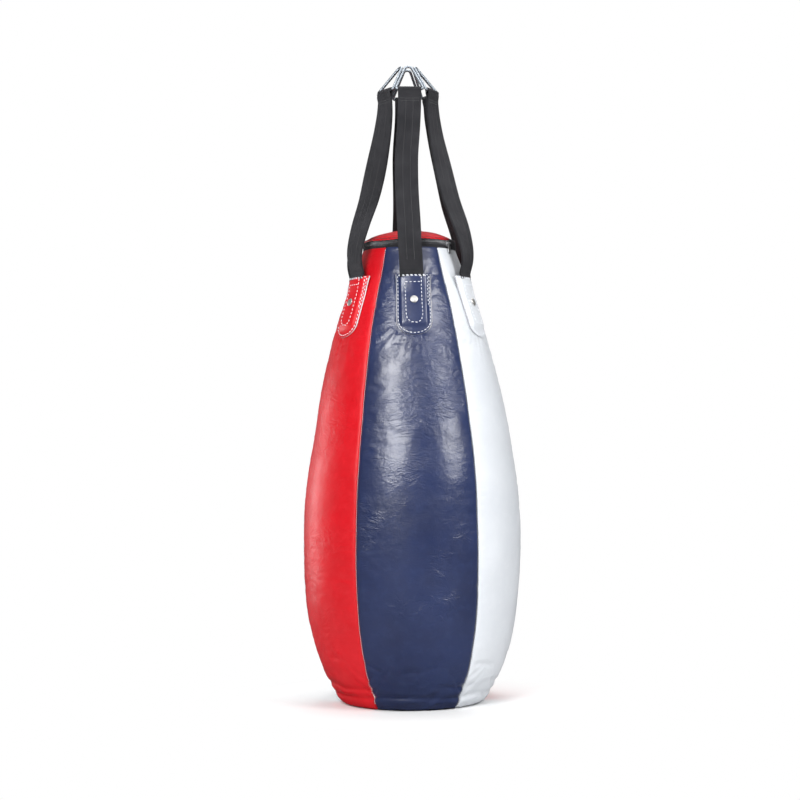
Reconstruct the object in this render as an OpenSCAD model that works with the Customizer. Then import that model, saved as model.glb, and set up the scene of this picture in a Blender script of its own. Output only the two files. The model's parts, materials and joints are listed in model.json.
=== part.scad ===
// Heavy punching bag: six-gore leather teardrop with a zipped lid,
// six webbing straps and six triangular hanging rings.
// Origin at the centre of the base, +Z up, front panel facing -Y. Millimetres.

/* [Leather body] */
// Height of the leather body from the base to the zip
body_h = 938; // [900:1:960]
// Largest radius of the body, at the belly
belly_r = 225.5; // [218:0.5:232]
// Thickness of the leather panels
leather_t = 3; // [2.5:0.1:3.2]
// Width of each blue panel, in degrees round the body
blue_deg = 66; // [58:1:68]

/* [Lid and zip] */
// Radius of the zip track
zip_r = 95; // [94:0.5:96]
// Height of the crown of the lid above its edge
lid_crown = 25; // [22:1:28]
// Half angle of the unzipped side that the lid folds about
hinge_half = 35; // [33:1:36]
// Zip slider length along the track
slider_len = 10; // [8:0.5:11]

/* [Straps] */
// Width of the webbing
strap_w = 48; // [42:0.5:48]
// Thickness of the doubled webbing
strap_t = 4.4; // [3.6:0.1:4.6]
// Height of the bars the straps loop over
bar_z = 1265.5; // [1250:0.5:1275]
// Distance of each bar from the hanging axis
bar_r = 56; // [56:0.5:60]

/* [Rings] */
// Radius of the ring wire
wire_r = 2.75; // [2.5:0.05:2.75]
// Height from the bar to the centre of the apex bend
ring_h = 58; // [56:1:62]
// Distance of the apex bends from the hanging axis
apex_r = 22.3; // [22:0.1:24]

/* [Strap tabs] */
// Half width of the leather tab over each strap end
tab_half = 36; // [32:0.5:38]
// Height of the rivet through each tab
rivet_z = 823; // [815:1:832]
// Radius of the rivet cap
cap_r = 8; // [7:0.5:9]

/* [Hidden] */
$fn = 96;

red = [0.80, 0.06, 0.09];
blue = [0.14, 0.17, 0.38];
white = [0.91, 0.92, 0.94];
canvas = [0.82, 0.80, 0.74];
stuffing = [0.55, 0.53, 0.50];
webbing = [0.10, 0.10, 0.11];
steel = [0.78, 0.80, 0.82];

// ---- six places round the body: place 0 is the front (-Y), counting towards +X
places = 6;
pitch = 360 / places;
leather = [blue, white, red, blue, white, red];

module at(azimuth) rotate([0, 0, azimuth]) children();

// Revolves an [r, z] outline between two azimuths
module sector(start, end)
    rotate([0, 0, start - 90]) rotate_extrude(angle = end - start) children();

// ---- smooth cubic curve through a table of [station, value] rows
function slope(rows, i, j) = (rows[j][1] - rows[i][1]) / (rows[j][0] - rows[i][0]);
function tangent(rows, i) = slope(rows, max(i - 1, 0), min(i + 1, len(rows) - 1));
function row_below(rows, station) =
    max([for (i = [0 : len(rows) - 2]) if (i == 0 || station >= rows[i][0]) i]);
function curve(rows, station) =
    let (i = row_below(rows, station),
         step = rows[i+1][0] - rows[i][0],
         t = (station - rows[i][0]) / step,
         t2 = t * t,
         t3 = t2 * t)
    (2*t3 - 3*t2 + 1) * rows[i][1] + (t3 - 2*t2 + t) * step * tangent(rows, i)
    + (3*t2 - 2*t3) * rows[i+1][1] + (t3 - t2) * step * tangent(rows, i + 1);

// ---- body outline
// Control points: [fraction of body height, fraction of belly radius]
shape = [[0, 0.647], [0.0224, 0.712], [0.066, 0.814], [0.133, 0.909], [0.223, 0.976],
         [0.341, 1.0], [0.446, 0.987], [0.534, 0.945], [0.668, 0.847], [0.802, 0.716],
         [0.891, 0.599], [0.937, 0.521], [1.0, 0.4257]];
controls = [for (point = shape) [point[0] * body_h, point[1] * belly_r]];

// Outer leather face as [z, r]: two straight runs between each pair of control points
stations = [for (i = [0 : len(controls) - 2], part = [0, 0.5])
            controls[i][0] + part * (controls[i+1][0] - controls[i][0])];
profile = concat([for (z = stations) [z, curve(controls, z)]], [controls[len(controls) - 1]]);
function body_r(z) = lookup(z, profile);

// Outline [r, z] between two heights, at a radial offset from the outer leather face
function wall(off, low, high) = concat(
    [[body_r(low) + off, low]],
    [for (row = profile) if (row[0] > low + 0.01 && row[0] < high - 0.01) [row[1] + off, row[0]]],
    [[body_r(high) + off, high]]);
function flip(list) = [for (i = [len(list) - 1 : -1 : 0]) list[i]];
function band(inner, outer, low, high) =
    concat(wall(outer, low, high), flip(wall(inner, low, high)));

// ---- rivet places
shank_r = 2.4;
hole_r = 2.45;
lean_span = 6;  // the face is sampled this far above and below the rivet
rivet_lean = atan((body_r(rivet_z - lean_span) - body_r(rivet_z + lean_span)) / (2 * lean_span));

// Puts children on the body face at the rivet, +Z along the outward normal
module at_rivet(azimuth)
    at(azimuth)
    translate([0, -body_r(rivet_z), rivet_z])
    rotate([90 - rivet_lean, 0, 0])
    children();

module rivet_hole(azimuth)
    at_rivet(azimuth) translate([0, 0, -14]) cylinder(r = hole_r, h = 34);

// ---- leather panels and base
narrow_deg = (360 - 2 * blue_deg) / 4;
seams = [-blue_deg / 2, blue_deg / 2, blue_deg / 2 + narrow_deg, 180 - blue_deg / 2,
         180 + blue_deg / 2, 360 - blue_deg / 2 - narrow_deg, 360 - blue_deg / 2];
seam_gap = 0.04;  // degrees left clear at each edge of a panel

module panel(place) color(leather[place]) difference() {
    sector(seams[place] + seam_gap, seams[place + 1] - seam_gap)
        polygon(band(-leather_t, 0, 0, body_h));
    rivet_hole(pitch * place);
}

module base_disc() color(blue) cylinder(r = body_r(0) - leather_t - 0.3, h = leather_t);

// ---- lining: a closed-bottomed shell inside the leather
lining_t = 1.2;
lining_outer = leather_t + 0.2;
lining_inner = lining_outer + lining_t;
lining_z = leather_t + 0.3;
lining_top = body_h - 4;

module lining() color(canvas) difference() {
    rotate_extrude() polygon(concat(
        [[0, lining_z]],
        wall(-lining_outer, lining_z, lining_top),
        flip(wall(-lining_inner, lining_z + lining_t, lining_top)),
        [[0, lining_z + lining_t]]));
    for (place = [0 : places - 1]) rivet_hole(pitch * place);
}

// ---- filling: domed on top, with a hollow round the inner end of each rivet
fill_inset = lining_inner + 0.3;
fill_z = lining_z + 1.5;
fill_top = body_h - 6;
fill_crown = 34;
fill_steps = 10;
function fill_dome(edge_r) =
    [for (i = [1 : fill_steps]) let (angle = 90 * i / fill_steps)
        [edge_r * cos(angle), fill_top + fill_crown * sin(angle)]];

module filling() color(stuffing) difference() {
    rotate_extrude() polygon(concat(
        [[0, fill_z]],
        wall(-fill_inset, fill_z, fill_top),
        fill_dome(body_r(fill_top) - fill_inset)));
    for (place = [0 : places - 1])
        at_rivet(pitch * place) translate([0, 0, -16]) cylinder(r = 7, h = 20);
}

// ---- leather tabs and the strap ends beneath them; offsets are from the leather face
tab_top = 878;
tab_low = 753;
tab_inner = 0.2;
tab_outer = 7.2;
pocket_low = 774;
pocket_gap = 0.3;  // at each side of the webbing
sewn_inner = 0.3;
sewn_outer = sewn_inner + strap_t;
reach = 260;  // cutter length outwards from the axis, past the belly

// Strip following the body face, cut to a constant width
module face_strip(azimuth, width, inner, outer, low, high) intersection() {
    sector(azimuth - 20, azimuth + 20) polygon(band(inner, outer, low, high));
    at(azimuth) translate([-width/2, -reach, pocket_low]) cube([width, reach, 120]);
}

// Tab with a round lower end, hollowed for the webbing
module tab(place) color(leather[place]) difference() {
    azimuth = pitch * place;
    intersection() {
        sector(azimuth - 25, azimuth + 25)
            polygon(band(tab_inner, tab_outer, tab_low - 10, tab_top + 2));
        at(azimuth) translate([0, 0, tab_low + tab_half]) rotate([90, 0, 0]) union() {
            cylinder(r = tab_half, h = reach);
            translate([-tab_half, 0, 0]) cube([2 * tab_half, tab_top - tab_low - tab_half, reach]);
        }
    }
    face_strip(azimuth, strap_w + 2 * pocket_gap, -1, sewn_outer + 0.2, pocket_low, tab_top + 2);
    rivet_hole(azimuth);
}

module strap_end(place) color(webbing) difference() {
    azimuth = pitch * place;
    face_strip(azimuth, strap_w, sewn_inner, sewn_outer, pocket_low + 1, tab_top + 1);
    rivet_hole(azimuth);
}

// ---- rivets: domed cap, shank and peened end; heights are along the outward normal
cap_low = tab_outer - 0.2;
cap_edge = tab_outer + 0.5;
cap_dome = 2.4;
cap_steps = 6;
peen_r = 3.4;
rivet_outline = concat(
    [[0, -7.4], [peen_r, -7.4], [peen_r, -6.3], [shank_r, -6.0],
     [shank_r, cap_low], [cap_r, cap_low], [cap_r, cap_edge]],
    [for (i = [1 : cap_steps]) let (angle = 90 * i / cap_steps)
        [cap_r * cos(angle), cap_edge + cap_dome * sin(angle)]]);

module rivets() color(steel)
    for (place = [0 : places - 1])
        at_rivet(pitch * place) rotate_extrude() polygon(rivet_outline);

// Washers round the shanks, inside the lining
module rivet_burrs() color(steel)
    for (place = [0 : places - 1])
        at_rivet(pitch * place) translate([0, 0, -5.8]) difference() {
            cylinder(r = 6, h = 1.2);
            translate([0, 0, -1]) cylinder(r = hole_r, h = 4);
        }

// ---- zip: two tapes with teeth, in a level ring between body and lid
zip_start = -270 + hinge_half + 1;
zip_end = 90 - hinge_half - 1;
tape_z = body_h + 0.3;
teeth_z = body_h + 5;
mid_z = body_h + 8.8;
tape_top = body_h + 17.5;
teeth_gap = 0.8;  // from the middle of the zip to each row of teeth
teeth_h = 3;
lower_teeth_top = mid_z - teeth_gap;
upper_teeth_z = mid_z + teeth_gap;

// Arc of rectangular section centred on the zip track
module zip_arc(start, end, half_t, low, high)
    sector(start, end) translate([zip_r - half_t, low]) square([2 * half_t, high - low]);
module tape(start, end, low, high) color(webbing) zip_arc(start, end, 0.5, low, high);
module teeth(low, high) color(webbing) zip_arc(zip_start, zip_end, 1.9, low, high);

module zip_tape_lower() tape(zip_start, zip_end, tape_z, teeth_z - 0.2);
module zip_teeth_lower() teeth(teeth_z, lower_teeth_top);
module zip_teeth_upper() teeth(upper_teeth_z, upper_teeth_z + teeth_h);
module zip_tape_upper() tape(zip_start, zip_end, upper_teeth_z + teeth_h + 0.2, tape_top);
module hinge_gusset() tape(90 - hinge_half + 0.5, 90 + hinge_half - 0.5, tape_z, tape_top);

// One stop just past each end of the lower teeth
stop_deg = 0.8;
stop_gap = 0.1;
module zip_stops() color(steel)
    for (start = [zip_end + stop_gap, zip_start - stop_gap - stop_deg])
        zip_arc(start, start + stop_deg, 2, teeth_z, lower_teeth_top);

// ---- domed leather lid, folding about the chord at the unzipped side (+X)
lid_z = body_h + 17.8;
lid_r = zip_r + 1;
lid_t = 2.5;
dome_r = (lid_r * lid_r + lid_crown * lid_crown) / (2 * lid_crown);
dome_deg = asin(lid_r / dome_r);
dome_steps = 14;
fold_x = zip_r * cos(hinge_half);
fold_gap = 0.2;  // each side of the fold

// Arc from the edge to the crown, about the centre of the dome
function dome(radius) =
    [for (i = [0 : dome_steps]) let (angle = dome_deg * (dome_steps - i) / dome_steps)
        [radius * sin(angle), radius * cos(angle) - dome_r + lid_crown]];

// Part of the dome between two x positions
module lid_part(left, right) color(red) intersection() {
    translate([0, 0, lid_z]) rotate_extrude()
        polygon(concat(dome(dome_r), flip(dome(dome_r - lid_t))));
    translate([left, -150, lid_z]) cube([right - left, 300, 60]);
}
module lid() lid_part(-150, fold_x - fold_gap);
module lid_hinge_flap() lid_part(fold_x + fold_gap, fold_x + fold_gap + 60);

// ---- zip slider at the closed end of the track, with its pull
slider_azimuth = zip_end - 3.6;
slider_half_deg = slider_len / 2 / zip_r * 180 / PI;
web_half_deg = 1.2;
pin_r = 0.9;
pull_r = zip_r + 7;
lug = [1.2, 5, 4];
lug_x = 3.4;

// Block on the track; radii and heights are from the middle of the zip
module slider_block(half_deg, inner, outer, low, high)
    sector(slider_azimuth - half_deg, slider_azimuth + half_deg)
        translate([zip_r + inner, mid_z + low]) square([outer - inner, high - low]);

module zip_slider() color(steel) union() {
    // Outer plate, inner plate and the web between the rows of teeth
    slider_block(slider_half_deg, 2.4, 3.9, -6.3, 6.2);
    slider_block(slider_half_deg, -3.8, -2.4, -6.3, 0);
    slider_block(web_half_deg, -3, 3, -0.65, 0.65);
    // Two lugs and the pin between them
    at(slider_azimuth) for (side = [-1, 1])
        translate([side * lug_x - lug[0] / 2, -pull_r - 1.6, mid_z - lug[2] / 2]) cube(lug);
    at(slider_azimuth) translate([0, -pull_r, mid_z]) rotate([0, 90, 0])
        cylinder(r = pin_r, h = 7, center = true);
}

pull_t = 1.6;
module pull_plate(width, low, height)
    translate([-width/2, -pull_t/2, low]) cube([width, pull_t, height]);

// Knuckle on the pin, neck and grip, with a hole through the grip
module zip_pull() color(steel) at(slider_azimuth) translate([0, -pull_r, mid_z]) difference() {
    union() {
        rotate([0, 90, 0]) cylinder(r = 2, h = 5, center = true);
        pull_plate(4, -6, 5);
        pull_plate(7, -20.5, 15);
    }
    rotate([0, 90, 0]) cylinder(r = pin_r + 0.06, h = 20, center = true);
    translate([0, 0, -16.5]) rotate([90, 0, 0]) cylinder(r = 1.8, h = 10, center = true);
}

// ---- straps: pivot line at the tab, S-bend over the shoulder, loop over the bar
pivot_r = 121.5;
pivot_z = 884;
// Strap centreline: [z, distance from the hanging axis]
strap_path = [[pivot_z, pivot_r], [pivot_z + 26, 127.8], [pivot_z + 54, 130],
              [pivot_z + 98, 124], [pivot_z + 161, 100], [pivot_z + 244, 78],
              [pivot_z + 328, bar_r + 5], [bar_z, bar_r]];
strap_top = bar_z - 4;
strap_steps = 22;
spine = [for (i = [0 : strap_steps])
         let (z = pivot_z + (strap_top - pivot_z) * i / strap_steps) [curve(strap_path, z), z]];

// Point on the outer (1) or inner (-1) face of the webbing
function strap_face(i, side) =
    let (before = spine[max(i - 1, 0)],
         after = spine[min(i + 1, strap_steps)],
         along = (after - before) / norm(after - before))
    spine[i] + side * strap_t / 2 * [along[1], -along[0]];

loop_r = wire_r + 0.1;
// Drawn with x outwards and y up, the width along z
module strap(place) color(webbing) at(pitch * place) rotate([90, 0, -90]) difference() {
    union() {
        translate([0, 0, -strap_w/2]) linear_extrude(strap_w) polygon(concat(
            [for (i = [0 : strap_steps]) strap_face(i, 1)],
            [for (i = [strap_steps : -1 : 0]) strap_face(i, -1)]));
        translate([pivot_r, pivot_z, -strap_w/2]) cylinder(r = strap_t/2 + 0.1, h = strap_w);
        translate([bar_r, bar_z, -strap_w/2]) cylinder(r = loop_r + strap_t/2, h = strap_w);
    }
    translate([bar_r, bar_z, -strap_w]) cylinder(r = loop_r, h = 2 * strap_w);
}

// ---- triangular rings: bar, two corner bends, two legs and the apex bend
wire_fn = 32;
corner_r = 3.2;
bend_r = 7.75;
corner_x = strap_w/2 + 0.4;
ring_lean = asin((bar_r - apex_r) / ring_h);
// Each leg is tangent to its corner bend and the apex bend; leg_deg is its outward normal
centres_gap = norm([corner_x, ring_h - corner_r]);
leg_deg = atan2(ring_h - corner_r, -corner_x) - acos((corner_r - bend_r) / centres_gap);
leg_len = sqrt(centres_gap * centres_gap - (bend_r - corner_r) * (bend_r - corner_r));

module bend(x, z, radius, start, end)
    translate([x, 0, z]) rotate([90, 0, 0]) rotate([0, 0, start])
    rotate_extrude(angle = end - start)
    translate([radius, 0]) circle(r = wire_r, $fn = wire_fn);

// Slight swelling of the wire where a bend meets a straight
module swelling() cylinder(r = wire_r + 0.06, h = 0.9, center = true, $fn = wire_fn);

module ring(place) color(steel)
at(pitch * place) translate([0, -bar_r, bar_z]) rotate([-ring_lean, 0, 0]) union() {
    rotate([0, 90, 0]) cylinder(r = wire_r, h = 2 * corner_x, center = true, $fn = wire_fn);
    for (side = [0, 1]) mirror([side, 0, 0]) {
        bend(corner_x, corner_r, corner_r, -90, leg_deg);
        translate([corner_x, 0, 0]) rotate([0, 90, 0]) swelling();
        translate([corner_x + corner_r * cos(leg_deg), 0, corner_r + corner_r * sin(leg_deg)])
            rotate([0, -leg_deg, 0]) {
                cylinder(r = wire_r, h = leg_len, $fn = wire_fn);
                swelling();
                translate([0, 0, leg_len]) swelling();
            }
    }
    bend(0, ring_h, bend_r, leg_deg, 180 - leg_deg);
}

panel(0);  // panel_blue_front
panel(1);  // panel_white_right_front
panel(2);  // panel_red_right_back
panel(3);  // panel_blue_back
panel(4);  // panel_white_left_back
panel(5);  // panel_red_left_front
base_disc();
lining();
filling();
tab(0);  // tab_front
tab(1);  // tab_right_front
tab(2);  // tab_right_back
tab(3);  // tab_back
tab(4);  // tab_left_back
tab(5);  // tab_left_front
strap_end(0);  // strap_end_front
strap_end(1);  // strap_end_right_front
strap_end(2);  // strap_end_right_back
strap_end(3);  // strap_end_back
strap_end(4);  // strap_end_left_back
strap_end(5);  // strap_end_left_front
rivets();
rivet_burrs();
zip_tape_lower();
zip_teeth_lower();
zip_stops();
hinge_gusset();
lid_hinge_flap();
lid();
zip_tape_upper();
zip_teeth_upper();
zip_slider();
zip_pull();
strap(0);  // strap_front
strap(1);  // strap_right_front
strap(2);  // strap_right_back
strap(3);  // strap_back
strap(4);  // strap_left_back
strap(5);  // strap_left_front
ring(0);  // ring_front
ring(1);  // ring_right_front
ring(2);  // ring_right_back
ring(3);  // ring_back
ring(4);  // ring_left_back
ring(5);  // ring_left_front
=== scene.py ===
"""A stuffed leather punch bag with six webbing straps, a zipped lid and a rag filling.

The bag stands on z = 0 around the Z axis, in metres. Azimuths are in degrees from the
front (-Y) towards the right (+X). The zip goes round the rim, except on the right, where
the lid folds. The CAD rings, rivets and zip fittings stay and only get a material.
"""
import json
import math
import random
import bpy
import bmesh
import numpy as np
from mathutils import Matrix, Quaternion, Vector, noise


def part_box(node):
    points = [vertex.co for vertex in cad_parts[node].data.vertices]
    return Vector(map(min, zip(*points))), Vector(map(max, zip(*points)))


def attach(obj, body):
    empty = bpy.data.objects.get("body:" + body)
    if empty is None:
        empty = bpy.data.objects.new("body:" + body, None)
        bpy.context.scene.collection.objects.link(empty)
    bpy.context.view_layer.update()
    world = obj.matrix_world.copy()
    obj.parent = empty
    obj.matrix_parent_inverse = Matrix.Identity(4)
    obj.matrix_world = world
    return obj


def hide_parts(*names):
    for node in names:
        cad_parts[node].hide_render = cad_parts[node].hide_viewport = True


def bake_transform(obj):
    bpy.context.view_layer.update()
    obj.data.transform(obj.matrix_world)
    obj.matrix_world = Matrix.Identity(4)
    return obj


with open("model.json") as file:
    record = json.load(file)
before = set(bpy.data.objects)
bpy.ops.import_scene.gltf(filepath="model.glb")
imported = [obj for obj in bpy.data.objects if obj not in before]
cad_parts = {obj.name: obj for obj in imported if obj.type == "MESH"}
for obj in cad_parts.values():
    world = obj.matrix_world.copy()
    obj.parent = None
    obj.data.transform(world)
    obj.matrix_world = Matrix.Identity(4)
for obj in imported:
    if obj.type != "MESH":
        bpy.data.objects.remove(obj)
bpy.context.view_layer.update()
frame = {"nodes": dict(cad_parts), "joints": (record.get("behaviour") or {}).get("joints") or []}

rng = random.Random(7)
cad_nodes = frame["nodes"]
joints = {joint["name"]: joint for joint in frame["joints"]}

# Sides and panels in order of azimuth, one every 60 degrees
SIDES = ["front", "right_front", "right_back", "back", "left_back", "left_front"]
TINTS = ["blue", "white", "red"] * 2
SIDE_STEP = 60


# ------------------------------------------------------------------ numbers and noise
def clamp01(x):
    return min(max(x, 0.0), 1.0)


def smoothstep(low, high, x):
    t = clamp01((x - low) / (high - low))
    return t * t * (3 - 2 * t)


def bell(x, width):
    return math.exp(-(x / width) ** 2)


def decay(distance, reach):
    return math.exp(-distance / reach)


def wave(x, y, z):
    return noise.noise(Vector((x, y, z)))


def fbm(x, y, z, octaves):
    """Sum of noise octaves, each about twice as fine and half as strong as the last."""
    total, strength, scale = 0.0, 1.0, 1.0
    for _ in range(octaves):
        total += strength * wave(x * scale, y * scale, z * scale)
        strength *= 0.5
        scale *= 2.07
    return total


def ridge(x, y, z):
    return 1.0 - abs(wave(x, y, z)) * 2.2


def polar(az, radius, z):
    a = math.radians(az)
    return (radius * math.sin(a), -radius * math.cos(a), z)


def signed_turn(az, centre=0):
    """Angle from centre to az, between -180 and 180 degrees."""
    return (az - centre + 180) % 360 - 180


# ------------------------------------------------------------------ body outline, from the CAD
def node_points(name):
    mesh = cad_nodes[name].data
    points = np.zeros(len(mesh.vertices) * 3, np.float32)
    mesh.vertices.foreach_get("co", points)
    return points.reshape(-1, 3).astype(float)


def body_outline():
    """Blue panel edge azimuth, body height, and a smoothed table of heights and radii."""
    points = node_points("panel_blue_front")
    az = np.degrees(np.arctan2(points[:, 0], -points[:, 1]))
    edge = points[az > az.max() - 0.02]
    edge_radii = np.hypot(edge[:, 0], edge[:, 1])
    edge_z = np.round(edge[:, 2], 5)
    heights = np.unique(edge_z)
    radii = np.array([edge_radii[np.abs(edge_z - z) < 2e-5].max() for z in heights])
    top = float(heights.max())

    # straight continuations below the floor and above the rim
    margin = 0.06
    fine = np.linspace(-margin, top + margin, 2200)
    raw = np.interp(fine, heights, radii)
    low, high = fine < 0, fine > top
    low_slope = (radii[1] - radii[0]) / (heights[1] - heights[0])
    high_slope = (radii[-1] - radii[-2]) / (heights[-1] - heights[-2])
    raw[low] = radii[0] + fine[low] * low_slope
    raw[high] = radii[-1] + (fine[high] - top) * high_slope

    # Gaussian smoothing, in samples; the lowest samples stay as they are
    reach, sigma, kept = 36, 12.0, 40
    kernel = np.exp(-0.5 * (np.arange(-reach, reach + 1) / sigma) ** 2)
    padded = np.pad(raw, reach, mode="edge")
    smooth = np.convolve(padded, kernel / kernel.sum(), mode="valid")
    smooth[:kept] = raw[:kept]
    return float(az.max()) + 0.04, top, fine, smooth


BLUE_HALF_AZ, BODY_H, OUTLINE_Z, OUTLINE_R = body_outline()
NARROW_AZ = (360 - 4 * BLUE_HALF_AZ) / 4
SEAMS = [-BLUE_HALF_AZ, BLUE_HALF_AZ, BLUE_HALF_AZ + NARROW_AZ,
         180 - BLUE_HALF_AZ, 180 + BLUE_HALF_AZ,
         360 - BLUE_HALF_AZ - NARROW_AZ, 360 - BLUE_HALF_AZ]


def body_radius(z):
    return float(np.interp(z, OUTLINE_Z, OUTLINE_R))


def body_slope(z):
    step = 0.002
    return (body_radius(z + step) - body_radius(z - step)) / (2 * step)


# ------------------------------------------------------------------ mesh helpers
def make(name, verts, faces, uvs, mats, mat_index=None):
    mesh = bpy.data.meshes.new(name)
    mesh.from_pydata([tuple(v) for v in verts], [], faces)
    if uvs is not None:
        layer = mesh.uv_layers.new(name="UVMap")
        corners = np.zeros(len(mesh.loops), np.int32)
        mesh.loops.foreach_get("vertex_index", corners)
        layer.data.foreach_set("uv", np.asarray(uvs, np.float32)[corners].ravel())
    for mat in mats:
        mesh.materials.append(mat)
    if mat_index is not None:
        mesh.polygons.foreach_set("material_index", np.asarray(mat_index, np.int32))
    mesh.polygons.foreach_set("use_smooth", np.full(len(mesh.polygons), True))
    mesh.update()
    piece = bpy.data.objects.new(name, mesh)
    bpy.context.scene.collection.objects.link(piece)
    return piece


def grid_faces(columns, rows, wrap=False, base=0):
    faces = []
    for j in range(rows - 1):
        low, high = base + j * columns, base + (j + 1) * columns
        for i in range(columns if wrap else columns - 1):
            k = (i + 1) % columns
            faces.append((low + i, low + k, high + k, high + i))
    return faces


def tube_faces(around, rings, base=0):
    """A wrapped grid with both ends capped."""
    last = base + (rings - 1) * around
    return grid_faces(around, rings, wrap=True, base=base) + [
        tuple(base + j for j in reversed(range(around))),
        tuple(last + j for j in range(around))]


def fix_normals(piece):
    bm = bmesh.new()
    bm.from_mesh(piece.data)
    bmesh.ops.remove_doubles(bm, verts=bm.verts, dist=1e-6)
    bmesh.ops.recalc_face_normals(bm, faces=bm.faces)
    bm.to_mesh(piece.data)
    bm.free()


def solid(piece, thickness):
    """Thickens a sheet inwards."""
    mod = piece.modifiers.new("thickness", "SOLIDIFY")
    mod.thickness = thickness
    mod.offset = -1.0
    mod.use_even_offset = False


def register(piece, body=None, replaced=()):
    if replaced:
        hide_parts(*replaced)
    if body:
        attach(piece, body)


# ------------------------------------------------------------------ node helpers
class NodeNet:
    """Short calls for building a node tree. A value may be a number, a tuple or a socket."""

    def __init__(self, tree):
        self.tree = tree
        tree.nodes.clear()

    def link(self, source, target):
        self.tree.links.new(source, target)

    def feed(self, node, inputs):
        for key, value in inputs.items():
            socket = node.inputs[key]
            if isinstance(value, bpy.types.NodeSocket):
                self.link(value, socket)
            elif socket.type == "RGBA" and len(value) == 3:
                socket.default_value = (*value, 1)
            else:
                socket.default_value = value

    def add(self, kind, inputs=None, **props):
        node = self.tree.nodes.new(kind)
        for key, value in props.items():
            setattr(node, key, value)
        self.feed(node, inputs or {})
        return node

    def coords(self, output="Object"):
        return self.add("ShaderNodeTexCoord").outputs[output]

    def uv(self):
        return self.separate(self.add("ShaderNodeUVMap").outputs[0])

    def separate(self, vector):
        return self.add("ShaderNodeSeparateXYZ", {0: vector}).outputs

    def math(self, operation, first, second=None):
        inputs = {0: first}
        if second is not None:
            inputs[1] = second
        return self.add("ShaderNodeMath", inputs, operation=operation).outputs[0]

    def stretch(self, vector, scale):
        return self.add("ShaderNodeMapping", {"Scale": scale, "Vector": vector}).outputs[0]

    def noise(self, vector, scale, detail=3.0, roughness=0.55, distortion=0.0):
        return self.add("ShaderNodeTexNoise", {
            "Scale": scale, "Detail": detail, "Roughness": roughness,
            "Distortion": distortion, "Vector": vector}).outputs["Fac"]

    def warp(self, vector, scale, detail, amount):
        """The vector pushed about by a colour noise."""
        push = self.add("ShaderNodeTexNoise",
                        {"Scale": scale, "Detail": detail, "Vector": vector})
        return self.add("ShaderNodeVectorMath",
                        {0: push.outputs["Color"], 1: (amount,) * 3, 2: vector},
                        operation="MULTIPLY_ADD").outputs[0]

    def voronoi(self, vector, scale, feature="DISTANCE_TO_EDGE"):
        return self.add("ShaderNodeTexVoronoi", {"Scale": scale, "Vector": vector},
                        feature=feature).outputs

    def ramp(self, factor, stops):
        node = self.add("ShaderNodeValToRGB", {"Fac": factor})
        elements = node.color_ramp.elements
        while len(elements) < len(stops):
            elements.new(0.5)
        for element, (position, color) in zip(elements, stops):
            element.position = position
            element.color = (*color, 1)
        return node.outputs["Color"]

    def mix(self, factor, first, second):
        return self.add("ShaderNodeMix", {0: factor, 6: first, 7: second},
                        data_type="RGBA", blend_type="MIX").outputs[2]

    def remap(self, value, source, to=(0, 1)):
        """Maps the source range onto the range `to`."""
        return self.add("ShaderNodeMapRange", {
            "Value": value, "From Min": source[0], "From Max": source[1],
            "To Min": to[0], "To Max": to[1]}).outputs["Result"]

    def bump(self, height, strength, distance, normal=None):
        inputs = {"Strength": strength, "Distance": distance, "Height": height}
        if normal is not None:
            inputs["Normal"] = normal
        return self.add("ShaderNodeBump", inputs).outputs["Normal"]


class Material(NodeNet):
    """A new material with a Principled shader."""

    def __init__(self, name):
        self.material = bpy.data.materials.new(name)
        self.material.use_nodes = True
        super().__init__(self.material.node_tree)
        self.output = self.add("ShaderNodeOutputMaterial")
        self.bsdf = self.add("ShaderNodeBsdfPrincipled")
        self.link(self.bsdf.outputs[0], self.output.inputs[0])

    def surface(self, inputs):
        self.feed(self.bsdf, inputs)
        return self.material


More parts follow.
